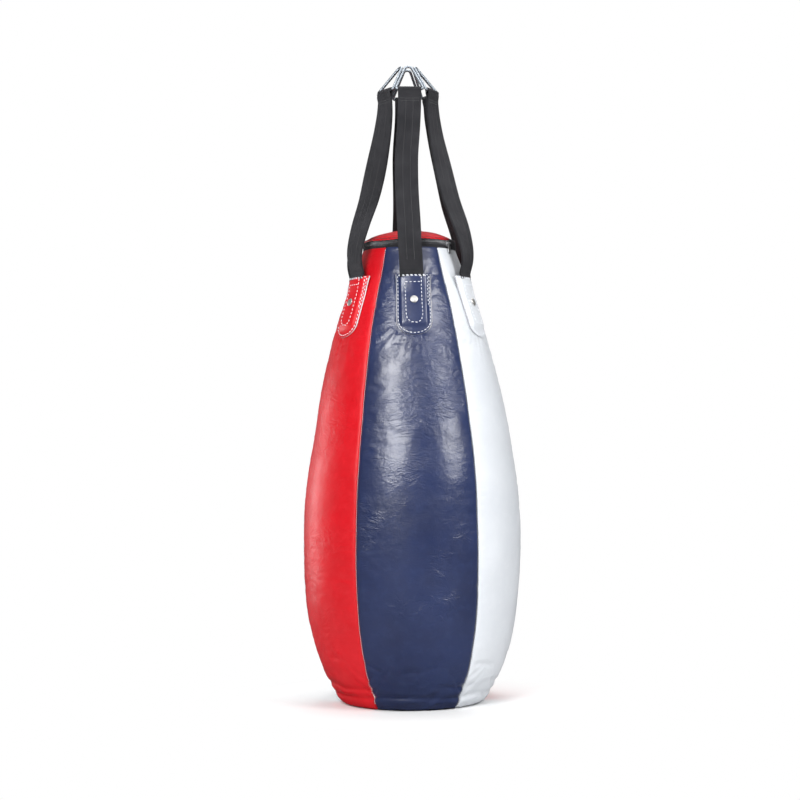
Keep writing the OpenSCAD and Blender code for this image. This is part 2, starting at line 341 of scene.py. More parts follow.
# ------------------------------------------------------------------ materials
def leather(name, tint, dark, light, rough, coat, crease=1.0, specular=0.5):
    """crease scales the creases; rough is the range of roughness."""
    net = Material(name)
    coords = net.coords()
    cloud = net.noise(coords, scale=7)
    mottle = net.noise(coords, scale=60, detail=5, roughness=0.62, distortion=0.3)
    pores = net.voronoi(coords, scale=520)["Distance"]

    # creases are stretched across the hide and bent by a slower noise
    bent = net.warp(coords, scale=11, detail=2, amount=0.05)

    def distance_to_crease(stretch, roughness, distortion):
        field = net.noise(net.stretch(bent, stretch), scale=1.0, detail=4,
                          roughness=roughness, distortion=distortion)
        return net.math("ABSOLUTE", net.math("SUBTRACT", field, 0.5))

    coarse = distance_to_crease((30, 30, 66), roughness=0.58, distortion=0.6)
    small = distance_to_crease((85, 85, 190), roughness=0.60, distortion=0.8)

    # they gather in patches, fewer near the base and near the top
    height = net.separate(coords)[2]
    bias = net.math("ADD", net.remap(height, (0.12, 0.62), to=(-0.10, 0.04)),
                    net.remap(height, (0.74, 0.88), to=(0.0, -0.09)))
    spread = net.noise(net.stretch(coords, (9, 9, 7)), scale=1.0, detail=2,
                       roughness=0.5, distortion=0.5)
    patch = net.remap(net.math("ADD", spread, bias), (0.43, 0.66), to=(0.10, 1.0))

    color = net.mix(net.remap(cloud, (0.35, 0.65)), dark, tint)
    color = net.mix(net.remap(mottle, (0.50, 0.78), to=(0, 0.30)), color, light)
    color = net.mix(net.remap(pores, (0.0, 0.18), to=(0.22, 0.0)), color, dark)
    # colour is rubbed on the crests of the creases
    rub = net.remap(coarse, (0.0, 0.018), to=(0.22 * crease, 0.0))
    color = net.mix(net.math("MULTIPLY", rub, patch), color, light)

    blotch = net.noise(coords, scale=22, detail=4, roughness=0.6)
    roughness = net.math("ADD", net.remap(blotch, (0.32, 0.70), to=rough),
                         net.remap(pores, (0, 0.2), to=(0.06, 0.0)))

    # bumps from pores and grain up to soft dents
    normal = net.bump(net.remap(pores, (0, 0.35)), strength=0.10, distance=0.0003)
    grain = net.noise(coords, scale=380, roughness=0.6)
    normal = net.bump(grain, strength=0.10, distance=0.0005, normal=normal)
    for line, reach, strength, distance in ((coarse, 0.16, 0.42, 0.0022),
                                            (small, 0.14, 0.26, 0.0009)):
        relief = net.math("MULTIPLY", net.remap(line, (0.0, reach)), patch)
        normal = net.bump(relief, strength * crease, distance, normal)
    dents = net.noise(coords, scale=24, roughness=0.5)
    normal = net.bump(dents, strength=0.34 * crease, distance=0.004, normal=normal)
    wrinkles = net.noise(coords, scale=70, detail=4, roughness=0.6, distortion=0.6)
    normal = net.bump(wrinkles, strength=0.18 * crease, distance=0.0016, normal=normal)
    return net.surface({
        "Base Color": color, "Roughness": roughness, "Normal": normal,
        "Coat Weight": coat, "Coat Roughness": 0.20, "Coat Normal": normal,
        "Specular IOR Level": specular})


def webbing(name, base, light):
    """Twill tape. UV in millimetres: u across the tape, v along it."""
    rib_pitch, weft_pitch, row_shift = 1.55, 1.1, 1.9
    net = Material(name)
    across, along, _ = net.uv()
    coords = net.coords()
    # ribs along the tape crossed by weft, offset row by row
    ribs = net.math("SINE", net.math("MULTIPLY", across, 2 * math.pi / rib_pitch))
    row = net.math("FLOOR", net.math("MULTIPLY", across, 1 / rib_pitch))
    phase = net.math("ADD", net.math("MULTIPLY", along, 2 * math.pi / weft_pitch),
                     net.math("MULTIPLY", row, row_shift))
    weft = net.math("SINE", phase)
    weave = net.math("MULTIPLY", net.math("ADD", ribs, 1), net.math("ADD", weft, 1))
    fuzz = net.noise(coords, scale=900, detail=4, roughness=0.7)
    cloud = net.noise(coords, scale=22, roughness=0.6)
    faded = (light[0] * 1.25, light[1] * 1.22, light[2] * 1.2)
    color = net.mix(net.remap(weave, (0, 4), to=(0, 0.75)), base, light)
    color = net.mix(net.remap(fuzz, (0.5, 0.9), to=(0, 0.5)), color, light)
    color = net.mix(net.remap(cloud, (0.35, 0.7), to=(0.0, 0.35)), color, faded)
    normal = net.bump(weave, strength=0.6, distance=0.0005)
    return net.surface({
        "Base Color": color,
        "Roughness": net.remap(fuzz, (0.3, 0.8), to=(0.72, 0.92)),
        "Normal": net.bump(fuzz, strength=0.25, distance=0.0003, normal=normal),
        "Sheen Weight": 0.12, "Specular IOR Level": 0.25,
        "Sheen Roughness": 0.5, "Sheen Tint": (0.5, 0.5, 0.55, 1)})


def thread(name, base, dark):
    net = Material(name)
    coords = net.coords()
    fibre = net.noise(coords, scale=1500, roughness=0.6)
    cloud = net.noise(coords, scale=60, roughness=0.6)
    color = net.mix(net.remap(fibre, (0.35, 0.7)), dark, base)
    color = net.mix(net.remap(cloud, (0.45, 0.8), to=(0, 0.4)), color, dark)
    return net.surface({
        "Base Color": color, "Roughness": 0.6, "Sheen Weight": 0.3,
        "Normal": net.bump(fibre, strength=0.5, distance=0.0003)})


def metal(name, base, dark, rough, scratch):
    net = Material(name)
    coords = net.coords()
    blotch = net.noise(coords, scale=160, detail=5, roughness=0.65)
    streak = net.noise(net.stretch(coords, (900, 900, 60)), scale=1.0, roughness=0.6)
    fine = net.noise(coords, scale=2200, detail=2, roughness=0.5)
    # painted highlight: sharp convex edges are lightened
    edges = net.add("ShaderNodeNewGeometry").outputs["Pointiness"]
    edge_highlight = tuple(min(1, c * 1.25) for c in base)
    color = net.mix(net.remap(blotch, (0.35, 0.75)), base, dark)
    color = net.mix(net.remap(edges, (0.50, 0.62), to=(0, 0.5)), color, edge_highlight)
    roughness = net.math("ADD", net.remap(blotch, (0.3, 0.75), to=rough),
                         net.remap(streak, (0.55, 0.8), to=(0, 0.15)))
    normal = net.bump(streak, strength=scratch * 0.3, distance=0.00015)
    return net.surface({
        "Base Color": color, "Metallic": 1.0, "Roughness": roughness,
        "Normal": net.bump(fine, strength=0.06, distance=0.0001, normal=normal)})


def plastic(name, base, light):
    net = Material(name)
    coords = net.coords()
    # lighter flecks: a speckle in the moulding and painted glints
    speckle_and_glint = net.noise(coords, scale=300, detail=4, roughness=0.6)
    cloud = net.noise(coords, scale=40, roughness=0.6)
    return net.surface({
        "Base Color": net.mix(net.remap(speckle_and_glint, (0.4, 0.75), to=(0, 0.5)), base, light),
        "Roughness": net.remap(cloud, (0.3, 0.7), to=(0.14, 0.28)),
        "Normal": net.bump(speckle_and_glint, strength=0.12, distance=0.0002),
        "Coat Weight": 0.9})


def canvas(name, base, light, pitch):
    """Plain weave; pitch in UV millimetres."""
    net = Material(name)
    cloud = net.noise(net.coords(), scale=30, detail=4, roughness=0.6)
    across, along, _ = net.uv()
    waves = [net.math("SINE", net.math("MULTIPLY", axis, 2 * math.pi / pitch))
             for axis in (across, along)]
    weave = net.math("MULTIPLY", *waves)
    color = net.mix(net.remap(weave, (-1, 1)), base, light)
    color = net.mix(net.remap(cloud, (0.4, 0.75), to=(0, 0.5)), color, light)
    return net.surface({
        "Base Color": color, "Roughness": 0.88, "Sheen Weight": 0.3,
        "Normal": net.bump(weave, strength=0.5, distance=0.0004)})


def rags(name):
    """Scraps of cloth in mixed colours, with painted shade in the gaps between them."""
    net = Material(name)
    coords = net.coords()
    bent = net.warp(coords, scale=40, detail=4, amount=0.03)
    scrap = net.voronoi(bent, scale=55, feature="F1")["Color"]
    gap = net.voronoi(bent, scale=55)["Distance"]
    pick = net.add("ShaderNodeSeparateColor", {0: scrap}).outputs[0]
    color = net.ramp(pick, [
        (0.0, (0.10, 0.12, 0.20)), (0.22, (0.42, 0.40, 0.37)), (0.45, (0.62, 0.60, 0.56)),
        (0.62, (0.16, 0.16, 0.17)), (0.8, (0.35, 0.10, 0.09)), (1.0, (0.70, 0.68, 0.62))])
    # painted shade: the gaps between scraps go near black
    color = net.mix(net.remap(gap, (0.0, 0.12), to=(0.75, 0.0)), color, (0.05, 0.05, 0.05))
    fuzz = net.noise(coords, scale=700, detail=4, roughness=0.7)
    color = net.mix(net.remap(fuzz, (0.4, 0.8), to=(0, 0.35)), color, (0.75, 0.74, 0.70))
    normal = net.bump(net.remap(gap, (0, 0.25)), strength=0.8, distance=0.004)
    return net.surface({
        "Base Color": color, "Roughness": 0.95,
        "Normal": net.bump(fuzz, strength=0.4, distance=0.0012, normal=normal)})


HIDES = {
    "blue": dict(tint=(0.018, 0.030, 0.096), dark=(0.013, 0.021, 0.068),
                 light=(0.035, 0.054, 0.145), rough=(0.28, 0.40), coat=0.55),
    "red": dict(tint=(0.600, 0.004, 0.011), dark=(0.505, 0.003, 0.008),
                light=(0.710, 0.022, 0.034), rough=(0.34, 0.48), coat=0.04, specular=0.28),
    "white": dict(tint=(0.645, 0.670, 0.704), dark=(0.590, 0.616, 0.652),
                  light=(0.705, 0.720, 0.742), rough=(0.36, 0.50), coat=0.20),
}
CREASES = {"blue": 1.0, "red": 0.55, "white": 0.45}
HIDE = {tint: leather("leather_" + tint, crease=CREASES[tint], **look)
        for tint, look in HIDES.items()}
# the tabs are cut from flat hide, so they carry fewer creases
FLAT_HIDE = {tint: leather("leather_%s_flat" % tint, crease=0.30, **look)
             for tint, look in HIDES.items()}
EDGE = leather("leather_cut_edge", tint=(0.62, 0.62, 0.64), dark=(0.40, 0.40, 0.43),
               light=(0.80, 0.80, 0.82), rough=(0.6, 0.8), coat=0.0)
# white tabs: the cut edge is painted darker grey for the shade along their outline
EDGE_SHADED = leather("leather_cut_edge_painted_shade", tint=(0.34, 0.34, 0.37), dark=(0.24, 0.24, 0.27),
                    light=(0.46, 0.46, 0.49), rough=(0.6, 0.8), coat=0.0)
WEB = webbing("webbing_black", base=(0.009, 0.009, 0.011), light=(0.042, 0.042, 0.048))
TAPE = webbing("zip_tape_black", base=(0.010, 0.010, 0.012), light=(0.032, 0.032, 0.037))
THREAD = thread("thread_white", base=(0.86, 0.88, 0.92), dark=(0.55, 0.57, 0.62))
THREAD_SEAM = thread("thread_seam", base=(0.80, 0.72, 0.76), dark=(0.50, 0.40, 0.45))
THREAD_GREY = thread("thread_seam_grey", base=(0.42, 0.43, 0.47), dark=(0.24, 0.25, 0.28))
THREAD_DARK = thread("thread_dark", base=(0.050, 0.050, 0.056), dark=(0.025, 0.025, 0.028))
RING = metal("zinc_wire", base=(0.40, 0.44, 0.48), dark=(0.28, 0.31, 0.35),
             rough=(0.48, 0.62), scratch=0.5)
RIVET = metal("nickel_rivet", base=(0.76, 0.75, 0.73), dark=(0.58, 0.56, 0.54),
              rough=(0.42, 0.55), scratch=0.3)
ZIP_METAL = metal("nickel_zip", base=(0.80, 0.81, 0.82), dark=(0.60, 0.61, 0.63),
                  rough=(0.28, 0.42), scratch=0.3)
# the flecks' light colour is raised to paint glints on the teeth
TEETH = plastic("zip_teeth_black", base=(0.060, 0.060, 0.066), light=(0.150, 0.150, 0.160))
LINING = canvas("lining_canvas", base=(0.62, 0.60, 0.54), light=(0.74, 0.72, 0.66), pitch=1.2)
RAGS = rags("rag_filling")


# ------------------------------------------------------------------ leather relief
# Offsets added inside the noise calls only shift the pattern.
TAB_TOP, TAB_LOW = 0.878, 0.753
NOISE_RADIUS = 0.22        # radius of the cylinder the relief noise is read on

# Heights and depths of the relief
PILLOW = 0.0016            # swelling between the seams
SEAM_NOTCH = 0.0032        # narrow valley at a seam
SEAM_DIP = 0.0010          # wider dip around it
LUMPS = 0.0016             # filling felt through the leather
PUCKERS = 0.0011           # gathers running out of the seams
HANDLING = 0.0006          # creases in patches
GATHERS = 0.0030           # folds at the base seam
BASE_FOLD, MID_FOLD, HIGH_FOLD = 0.0050, 0.0040, 0.0030
BASE_ROLL = 0.0022         # bulge under the lowest fold
SEAM_FOLDS = (             # depth, height at the seam, rise per metre away, reach, width
    (0.0034, 0.030, 1.1, 0.034, 0.0050),
    (0.0028, 0.062, 0.7, 0.030, 0.0045),
)
TAB_CREASES, TAB_HOLLOW = 0.0009, 0.0010
SAG_SHIFT, SAG_DENT = 0.0022, 0.0026
TAB_PRESS = 0.0004


def tab_mask(az, z):
    """1 where a strap tab presses on the leather, fading just outside it."""
    best = 0.0
    for k in range(6):
        across = math.radians(signed_turn(az, SIDE_STEP * k)) * body_radius(z)
        dx = max(abs(across) - 0.030, 0)
        dz = max(z - TAB_TOP, 0, 0.760 - z)
        best = max(best, 1 - smoothstep(0.0, 0.012, math.hypot(dx, dz)))
    return best


def panel_relief(x, y, z, seam_gap, u, panel):
    """Pillowing, lumps, puckers and creases, fading out at the zip."""
    below_zip = smoothstep(0.0, 0.05, BODY_H - z)
    off = PILLOW * math.sin(math.pi * u) ** 0.6 * below_zip
    seam = SEAM_NOTCH * decay(seam_gap, reach=0.0028) + SEAM_DIP * decay(seam_gap, reach=0.016)
    off -= seam * (0.3 + 0.7 * below_zip)
    off += LUMPS * fbm(x * 9 + 3.1, y * 9, z * 7, octaves=2) * below_zip

    pucker = ridge(panel * 7.3 + (0.0 if u < 0.5 else 3.7), z * 62, seam_gap * 14)
    pucker += 0.5 * ridge(panel * 3.1, z * 130 + 4, seam_gap * 30)
    near = decay(seam_gap, reach=0.022) * (1 - decay(seam_gap, reach=0.0035))
    off += PUCKERS * near * (pucker - 0.7) * below_zip

    gathered = fbm(x * 6 + 9.2, y * 6 + panel, z * 6 + 2.0, octaves=2)
    patch = smoothstep(0.05, 0.55, gathered + 0.35 * decay(seam_gap, reach=0.05))
    bend = 0.8 * wave(x * 20, y * 20, z * 14)
    crease = ridge(x * 26 + 1.3, y * 26, z * 85 + bend)
    return off + HANDLING * patch * (crease - 0.55) * below_zip


def base_relief(x, y, z, seam_gap):
    """Folds where the leather gathers into the base seam."""
    low = 1 - smoothstep(0.012, 0.110, z)
    fold = ridge(x * 9 + 5, y * 9, z * 34 + 1.2 * wave(x * 12, y * 12, 3.0))
    off = GATHERS * low * (fold - 0.62) * smoothstep(0.0, 0.012, z)
    if z >= 0.16:
        return off
    # three folds round the bag, wandering in height
    slow = wave(x * 11 + 2.0, y * 11, 0.3)
    quick = wave(x * 23, y * 23, 4.1)
    fold_z = 0.027 + 0.006 * slow + 0.0025 * quick
    depth = 0.80 + 0.85 * wave(x * 8, y * 8 + 7.0, 1.0)
    off -= BASE_FOLD * max(0.0, depth) * bell(z - fold_z, width=0.0042)
    off += BASE_ROLL * bell(z - fold_z + 0.013, width=0.009) * smoothstep(0.0, 0.006, z)
    fold_z = 0.052 + 0.020 * slow - 0.006 * quick
    off -= MID_FOLD * smoothstep(-0.1, 0.35, -slow) * bell(z - fold_z, width=0.0050)
    fold_z = 0.088 - 0.030 * slow + 0.008 * quick
    off -= HIGH_FOLD * smoothstep(-0.15, 0.3, quick) * bell(z - fold_z, width=0.0055)
    # short folds fanning out of the seams
    for depth, start_z, rise, reach, width in SEAM_FOLDS:
        off -= depth * decay(seam_gap, reach) * bell(z - start_z - rise * seam_gap, width)
    return off


def tab_fan_relief(az, z):
    """Creases fanning below each tab, and a hollow around its lower end."""
    off = 0.0
    for k in range(6):
        turn = signed_turn(az, SIDE_STEP * k)
        if abs(turn) < 32 and 0.60 < z < 0.90:
            across = math.radians(turn) * body_radius(z)
            down = 0.775 - z + 0.03
            angle, reach = math.atan2(across, down), math.hypot(across, down)
            fan = smoothstep(0.030, 0.055, reach) * (1 - smoothstep(0.055, 0.150, reach))
            off += TAB_CREASES * fan * (ridge(angle * 5.5 + k * 2.1, reach * 9, 1.7) - 0.6)
            off -= TAB_HOLLOW * bell(reach - 0.045, width=0.02)
    return off


def sag_relief(az, z):
    """The body leans to the right at mid height and is dented on the left."""
    shift = SAG_SHIFT * math.sin(math.radians(az)) * bell(z - 0.52, width=0.16)
    dent = bell(signed_turn(az, -84), width=42) * bell(z - 0.565, width=0.055)
    return shift - SAG_DENT * dent


def body_relief(az, z, seam_gap, u, panel):
    """Radial offset of the stuffed leather. seam_gap: distance to the nearer seam;
    u: 0 to 1 across the panel."""
    x, y, _ = polar(az, NOISE_RADIUS, 0)
    off = panel_relief(x, y, z, seam_gap, u, panel) + base_relief(x, y, z, seam_gap)
    off += tab_fan_relief(az, z) + sag_relief(az, z)
    mask = tab_mask(az, z)
    return off * (1 - mask) - TAB_PRESS * mask


# ------------------------------------------------------------------ leather panels
PANEL_LOW, PANEL_HIGH = 0.004, BODY_H - 0.002
PANEL_ROWS = 268
BASE_R = body_radius(0.002)
BASE_LIP = [(-0.0105, 0.0006), (-0.0050, 0.0007), (-0.0020, 0.0016)]  # radius change, z
ZIP_LIP = [(-0.0012, -0.0006), (-0.0026, -0.0002), (-0.0040, -0.0012)]  # same, z from BODY_H


def panel_station_z(z):
    return min(max(z, PANEL_LOW), PANEL_HIGH)


def panel(i):
    """One panel, turned in under the base disc and turned over at the zip."""
    az0, az1 = SEAMS[i], SEAMS[i + 1]
    columns = 76 if TINTS[i] == "blue" else 68
    # columns crowd towards the seams
    us = [k / (columns - 1) for k in range(columns)]
    us = [t - 0.06 * math.sin(2 * math.pi * t) for t in us]
    # height, radius, share of the relief
    stations = [(z, BASE_R + dr, 0) for dr, z in BASE_LIP]
    for j in range(PANEL_ROWS):
        z = PANEL_LOW + (PANEL_HIGH - PANEL_LOW) * j / (PANEL_ROWS - 1)
        stations.append((z, body_radius(z), 1))
    stations += [(BODY_H + dz, body_radius(BODY_H) + dr, 1) for dr, dz in ZIP_LIP]
    verts, uvs = [], []
    for z, radius, share in stations:
        relief_z = panel_station_z(z)
        arc = math.radians(az1 - az0) * body_radius(relief_z)
        for u in us:
            az = az0 + (az1 - az0) * u
            off = body_relief(az, relief_z, min(u, 1 - u) * arc, u, i)
            verts.append(polar(az, radius + share * off, z))
            uvs.append((math.radians(az) * 200, z * 1000))
    name = "%s_%s" % (TINTS[i], SIDES[i])
    piece = make("leather_" + name, verts, grid_faces(columns, len(stations)), uvs,
                 [HIDE[TINTS[i]]])
    solid(piece, 0.0022)
    register(piece, "bag", ["panel_" + name])


for i in range(6):
    panel(i)


# ------------------------------------------------------------------ stitches
# Place along the half length, height in radii and girth of each ring: the ends dip in.
STITCH_RINGS = ((-1.0, -1.1, 0.55), (-0.72, -0.1, 0.95), (-0.3, 0.45, 1.0),
                (0.3, 0.45, 1.0), (0.72, -0.1, 0.95), (1.0, -1.1, 0.55))
STITCH_JITTER = 0.12


def stitch_mesh(name, runs, radius, length, pitch, mat, lift, body, sides=6):
    """runs: pairs of (function of the distance giving a point and a normal, run length)."""
    verts, faces = [], []
    for path, total in runs:
        count = max(1, int(round(total / pitch)))
        for k in range(count):
            middle = (k + 0.5) * total / count
            half = length / 2 * (1 + STITCH_JITTER * (rng.random() - 0.5))
            turn = (rng.random() - 0.5) * 2 * STITCH_JITTER
            faces += tube_faces(sides, len(STITCH_RINGS), base=len(verts))
            for along, height, girth in STITCH_RINGS:
                point, normal = path(middle + along * half)
                ahead, _ = path(middle + along * half + 1e-4)
                side = (ahead - point).normalized().cross(normal).normalized()
                centre = (point + normal * (lift + height * radius)
                          + side * (turn * along * radius * 2))
                for j in range(sides):
                    a = 2 * math.pi * j / sides
                    verts.append(centre + normal * (girth * radius * math.sin(a))
                                 + side * (girth * radius * math.cos(a)))
    piece = make(name, verts, faces, None, [mat])
    fix_normals(piece)
    register(piece, body)


def seam_run(i):
    """Up the seam between panel i and the next, in the valley of the leather."""
    az = SEAMS[i + 1]
    low, high, climb = 0.012, BODY_H - 0.006, 0.985

    def at(s):
        z = low + s * climb
        on_panel = panel_station_z(z)
        outward = Vector(polar(az, 1, 0)).normalized()
        normal = (outward + Vector((0, 0, -body_slope(on_panel)))).normalized()
        dip = 0.5 * (body_relief(az, on_panel, 0.0008, 0.996, i)
                     + body_relief(az, on_panel, 0.0008, 0.004, (i + 1) % 6))
        return Vector(polar(az, body_radius(on_panel) + dip + 0.0003, z)), normal
    return at, (high - low) / climb


for i in range(6):
    stitch_mesh("seam_thread_%d" % (i + 1), [seam_run(i)], radius=0.00055, length=0.0034,
                pitch=0.0046, mat=THREAD_GREY if i in (0, 3) else THREAD_SEAM, lift=0.0004,
                body="bag", sides=5)


# ------------------------------------------------------------------ strap tabs
TAB_HALF = 0.0360              # half width at the middle
TAB_TOP_HALF = 0.0338          # half width at the top edge
ARC_Z = TAB_LOW + TAB_HALF * 0.86   # where the rounded lower end begins
TAB_STANDOFF = 0.0026          # outer face above the body
TAB_UNDER = 0.0022             # inner face below the outer one
TAB_SWELL = 0.0042             # rise over the strap end beneath
TAB_FLARE = 0.0080             # rise towards the top edge
TAB_COLUMNS, TAB_ARC_ROWS, TAB_SIDE_ROWS = 41, 20, 41


def tab_halfwidth(z):
    if z < ARC_Z:
        q = (ARC_Z - z) / (ARC_Z - TAB_LOW)
        return TAB_HALF * max(0.0, 1 - q ** 2.25) ** (1 / 2.05)
    return TAB_TOP_HALF + (TAB_HALF - TAB_TOP_HALF) * (1 - smoothstep(0.80, 0.875, z))


def tab_flare(z):
    return TAB_FLARE * smoothstep(0.835, 0.885, z)


def tab_raise(across, z):
    swell = (1 - smoothstep(0.0225, 0.0320, abs(across))) * smoothstep(0.764, 0.782, z)
    flare = tab_flare(z) * (1 - (abs(across) / 0.037) ** 2 * 0.45)
    return 0.0003 + TAB_SWELL * swell + flare


def tab_edge_distance(across, z):
    side = tab_halfwidth(z) - abs(across)
    if z < ARC_Z and side > 0:
        side = min(side, TAB_HALF - math.hypot(across, (z - ARC_Z) * 1.1))
    return max(0.0, min(side, TAB_TOP - z))


def tab_point(az0, across, z, lift):
    radius = body_radius(z)
    az = az0 + math.degrees(across / radius)
    out = radius + tab_raise(across, z) + TAB_STANDOFF + lift * 0.93
    return Vector(polar(az, out, z - lift * body_slope(z) * 0.35))


def tab_normal(az0, across, z):
    step = 0.0005
    sideways = tab_point(az0, across + step, z, 0) - tab_point(az0, across - step, z, 0)
    upwards = tab_point(az0, across, z + step, 0) - tab_point(az0, across, z - step, 0)
    return sideways.cross(upwards).normalized()


def tab_across(column, z):
    """Distance from the tab's middle line; columns crowd towards the edges."""
    u = -1 + 2 * column / (TAB_COLUMNS - 1)
    return math.copysign(abs(u) ** 0.82, u) * tab_halfwidth(z)


def tab(k, side):
    az0, tint = SIDE_STEP * k, TINTS[k]
    zs = [TAB_LOW + (ARC_Z - TAB_LOW) * (1 - math.cos(0.5 * math.pi * j / TAB_ARC_ROWS))
          for j in range(TAB_ARC_ROWS)]
    zs[0] = TAB_LOW + 0.00004
    zs += [ARC_Z + (TAB_TOP - ARC_Z) * j / (TAB_SIDE_ROWS - 1) for j in range(TAB_SIDE_ROWS)]
    columns, rows = TAB_COLUMNS, len(zs)
    outer, inner, uvs = [], [], []
    for z in zs:
        for i in range(columns):
            across = tab_across(i, z)
            edge = tab_edge_distance(across, z)
            rounding = -0.0012 * (1 - smoothstep(0, 0.0022, edge)) ** 1.5
            # thread pulls the leather down along its line
            groove = -0.0006 * bell(edge - 0.0042, width=0.0016)
            lump = 0.0003 * fbm(across * 60 + k, z * 60, 2.0, octaves=2)
            outer.append(tab_point(az0, across, z, rounding + groove + lump))
            inner.append(tab_point(az0, across, z, -TAB_UNDER))
            uvs.append((across * 1000, z * 1000))

    outer_faces = grid_faces(columns, rows)
    base = len(outer)
    inner_faces = [tuple(reversed([base + v for v in face])) for face in outer_faces]
    wall = []
    for j in range(rows - 1):
        a, b = j * columns, (j + 1) * columns
        wall.append((a, b, base + b, base + a))
        a, b = a + columns - 1, b + columns - 1
        wall.append((b, a, base + a, base + b))
    for i in range(columns - 1):
        a = (rows - 1) * columns + i
        wall.append((a, a + 1, base + a + 1, base + a))
        wall.append((i + 1, i, base + i, base + i + 1))

    # the cut edge shows on the walls and along the rim of the outer face; on the white tabs its
    # grey is painted shade along the outline
    mat_index = []
    for j in range(rows - 1):
        z = 0.5 * (zs[j] + zs[j + 1])
        mat_index += [int(tab_edge_distance(tab_across(i + 0.5, z), z) < 0.0009)
                      for i in range(columns - 1)]
    mat_index += [0] * len(inner_faces) + [1] * len(wall)
    piece = make("tab_leather_" + side, outer + inner, outer_faces + inner_faces + wall,
                 uvs + uvs, [FLAT_HIDE[tint], EDGE_SHADED if tint == "white" else EDGE],
                 mat_index)
    fix_normals(piece)
    register(piece, "bag", ["tab_" + side])
    tab_thread(k, side)


def tab_run(az0, points):
    """A run of thread over the tab through points (across, z)."""
    points = [Vector((across, z, 0)) for across, z in points]
    marks = [0.0]
    for a, b in zip(points, points[1:]):
        marks.append(marks[-1] + (b - a).length)
    total = marks[-1]

    def at(s):
        s = min(max(s, 0), total)
        q = next(q for q in range(len(marks) - 1)
                 if s <= marks[q + 1] or q == len(marks) - 2)
        share = clamp01((s - marks[q]) / max(marks[q + 1] - marks[q], 1e-9))
        p = points[q].lerp(points[q + 1], share)
        return tab_point(az0, p.x, p.y, -0.0004), tab_normal(az0, p.x, p.y)
    return at, total


def tab_outline():
    """Down the left edge, round the lower end and up the right edge, inside the edge."""
    inset, top_inset = 0.0042, 0.003
    half = tab_halfwidth(ARC_Z) - inset
    drop = (ARC_Z - TAB_LOW) - inset
    side_zs = np.linspace(TAB_TOP - top_inset, ARC_Z, 24)
    points = [(-(tab_halfwidth(z) - inset), z) for z in side_zs]
    points += [(-half * math.cos(a), ARC_Z - drop * math.sin(a) ** 0.9)
               for a in np.linspace(0.05, math.pi - 0.05, 40)]
    points += [(tab_halfwidth(z) - inset, z) for z in np.linspace(ARC_Z, TAB_TOP - top_inset, 24)]
    return points


def tab_thread(k, side):
    shift = 0.0004 * (k % 3 - 1)
    end = TAB_TOP_HALF - 0.004
    lines = [  # points (across, z)
        tab_outline(),
        # two rows along the top edge
        [(-end, TAB_TOP - 0.0024), (end, TAB_TOP - 0.0024)],
        [(-end, TAB_TOP - 0.0042), (TAB_TOP_HALF - 0.010, TAB_TOP - 0.0042)],
        # second row inside the right edge
        [(TAB_TOP_HALF - 0.0078 + shift, TAB_TOP - 0.006), (0.0355 - 0.0072 + shift, 0.812)],
        # loop round the strap end
        [(0.0140, TAB_TOP - 0.004), (0.0150, 0.830), (0.0160, 0.796), (0.0135, 0.783),
         (0.006, 0.778), (-0.006, 0.779), (-0.0138, 0.785), (-0.0158, 0.796),
         (-0.0160, 0.830), (-0.0165, 0.861), (0.0135, 0.8615)],
    ]
    stitch_mesh("tab_thread_" + side, [tab_run(SIDE_STEP * k, line) for line in lines],
                radius=0.00078, length=0.0049, pitch=0.0075, mat=THREAD, lift=0.0004,
                body="bag")


for k, side in enumerate(SIDES):
    tab(k, side)


# ------------------------------------------------------------------ webbing straps
# Two plies of one tape, folded over the ring bar. Profile points are (radius, z).
_pivot = joints["strap_swing_front"]["pos_m"]
_bar = joints["ring_pivot_front"]["pos_m"]
PIVOT_R, PIVOT_Z = (-Vector(_pivot).y, Vector(_pivot).z)
BAR_R, BAR_Z = (-Vector(_bar).y, Vector(_bar).z)
_low, _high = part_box("strap_front")
STRAP_HALF = (_high.x - _low.x) / 2
STRAP_LOW = 0.776              # lower end, under the tab
PLY = 0.0021
BOW = 0.0076                   # outward bulge at the pivot
WRAP = 0.00275 + 0.00015 + PLY / 2   # bar radius, clearance and half a ply
# z, radius of the middle line between the plies
STRAP_TABLE = [
    (PIVOT_Z, PIVOT_R + BOW), (PIVOT_Z + .026, .1278 + 0.8 * BOW),
    (PIVOT_Z + .054, .130 + 0.3 * BOW), (PIVOT_Z + .098, .120), (PIVOT_Z + .161, .096),
    (PIVOT_Z + .244, .074), (PIVOT_Z + .328, BAR_R + .003), (BAR_Z, BAR_R)]
STRAP_TWIST = [0.05, 0.36, 0.20, -0.06, -0.22, -0.44]   # radians, by side


def hermite(table, s):
    """Smooth curve through (place, value) pairs."""
    last = len(table) - 1
    i = max(q for q in range(last) if q == 0 or s >= table[q][0])

    def tangent(q):
        a, b = table[max(q - 1, 0)], table[min(q + 1, last)]
        return (b[1] - a[1]) / (b[0] - a[0])
    h = table[i + 1][0] - table[i][0]
    u = (s - table[i][0]) / h
    return ((2 * u**3 - 3 * u**2 + 1) * table[i][1] + (u**3 - 2 * u**2 + u) * h * tangent(i)
            + (3 * u**2 - 2 * u**3) * table[i + 1][1] + (u**3 - u**2) * h * tangent(i + 1))


def spine_radius(z):
    """Middle line: under the tab it follows the body, above the pivot the table."""
    if z < PIVOT_Z:
        step = PIVOT_R + BOW - (body_radius(PIVOT_Z) + TAB_STANDOFF + TAB_FLARE)
        return (body_radius(z) + TAB_STANDOFF + tab_flare(z)
                + step * smoothstep(PIVOT_Z - 0.022, PIVOT_Z, z))
    return hermite(STRAP_TABLE, z)


def outward_normal(a, b):
    d = (b - a).normalized()
    return Vector((d.y, -d.x))


